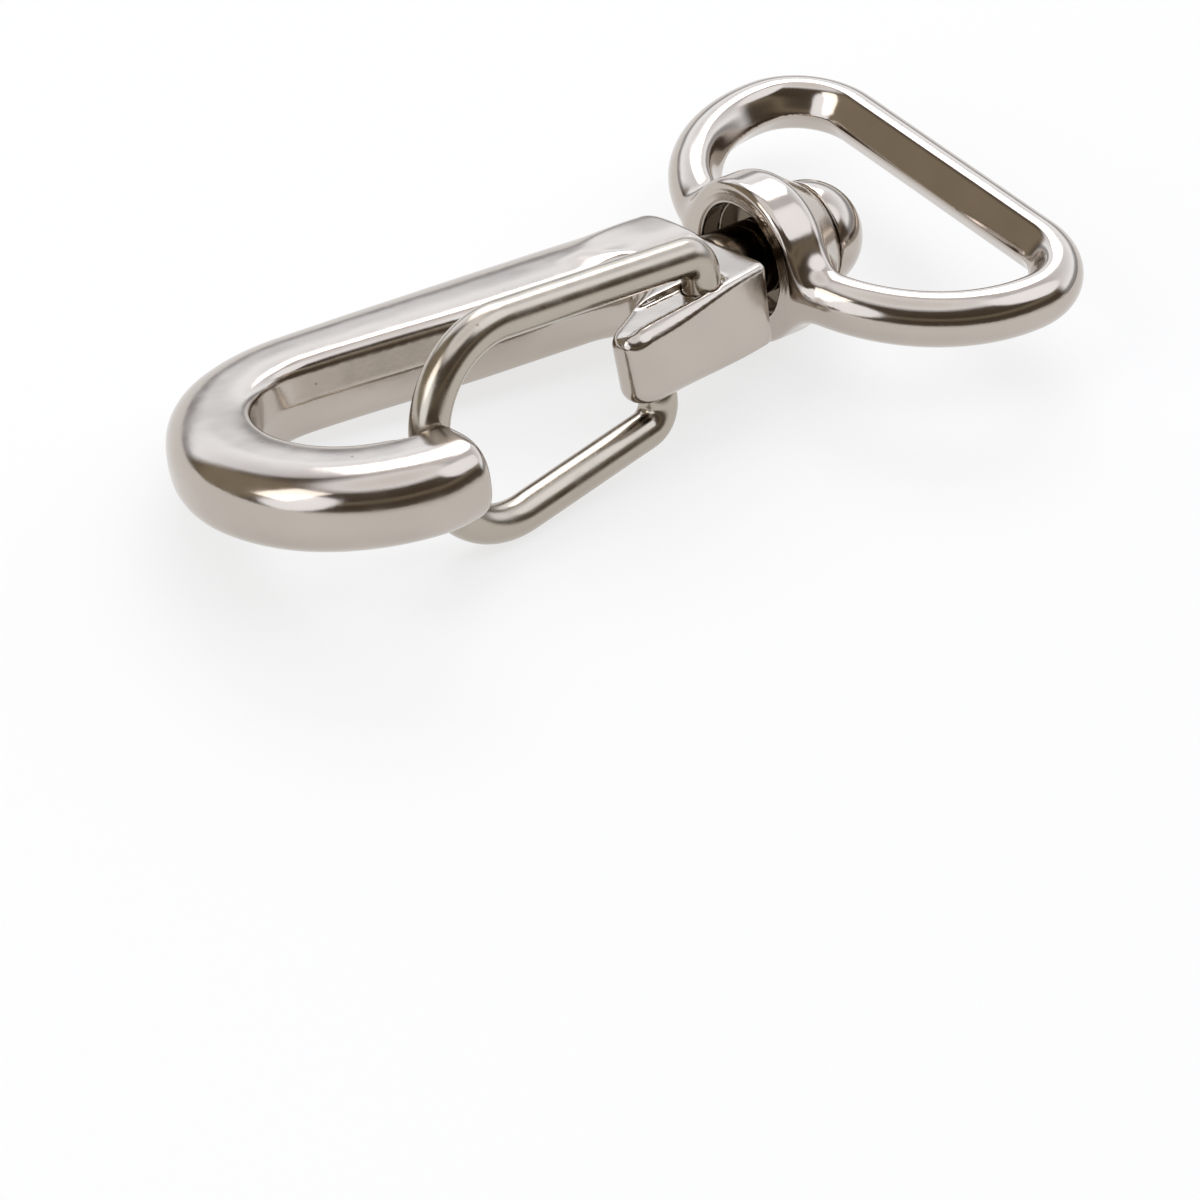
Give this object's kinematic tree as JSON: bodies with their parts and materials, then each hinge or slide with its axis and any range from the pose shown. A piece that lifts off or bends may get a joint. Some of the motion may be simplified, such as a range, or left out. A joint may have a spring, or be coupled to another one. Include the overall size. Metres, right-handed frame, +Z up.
{
  "type": "swivel snap hook",
  "caption": "Cast swivel snap hook with a sprung wire gate and a swivelling ring for webbing.",
  "frame": {"origin": "middle of the ring's far bar, on the swivel axis", "axes": "+X along the swivel axis from the hook to the ring, +Y towards the hook's spine, +Z up from the surface that it lies on"},
  "size_m": [0.0675, 0.034, 0.0163],
  "materials": {
    "hook_plating": "bright nickel plate over a zinc alloy casting",
    "wire_plating": "bright nickel plate over spring steel wire",
    "ring_plating": "bright nickel plate over a zinc alloy casting",
    "rivet_plating": "bright nickel plate over steel"
  },
  "bodies": {
    "hook": {"hook_body": "hook_plating", "swivel_rivet": "rivet_plating"},
    "gate": {"wire_gate": "wire_plating"},
    "ring": {"swivel_ring": "ring_plating"}
  },
  "joints": [
    {"name": "ring_swivel", "type": "hinge", "parent": "hook", "child": "ring", "pos_m": [-0.0145, 0, 0], "axis": [1, 0, 0], "continuous": true},
    {"name": "gate_hinge", "type": "hinge", "parent": "hook", "child": "gate", "pos_m": [-0.0269, -0.00562, 0.00348], "axis": [0, -0.2368, -0.9715], "range_deg": [0, 23], "stiffness_Nm_per_rad": 0.1, "springref_deg": -17.19}
  ]
}
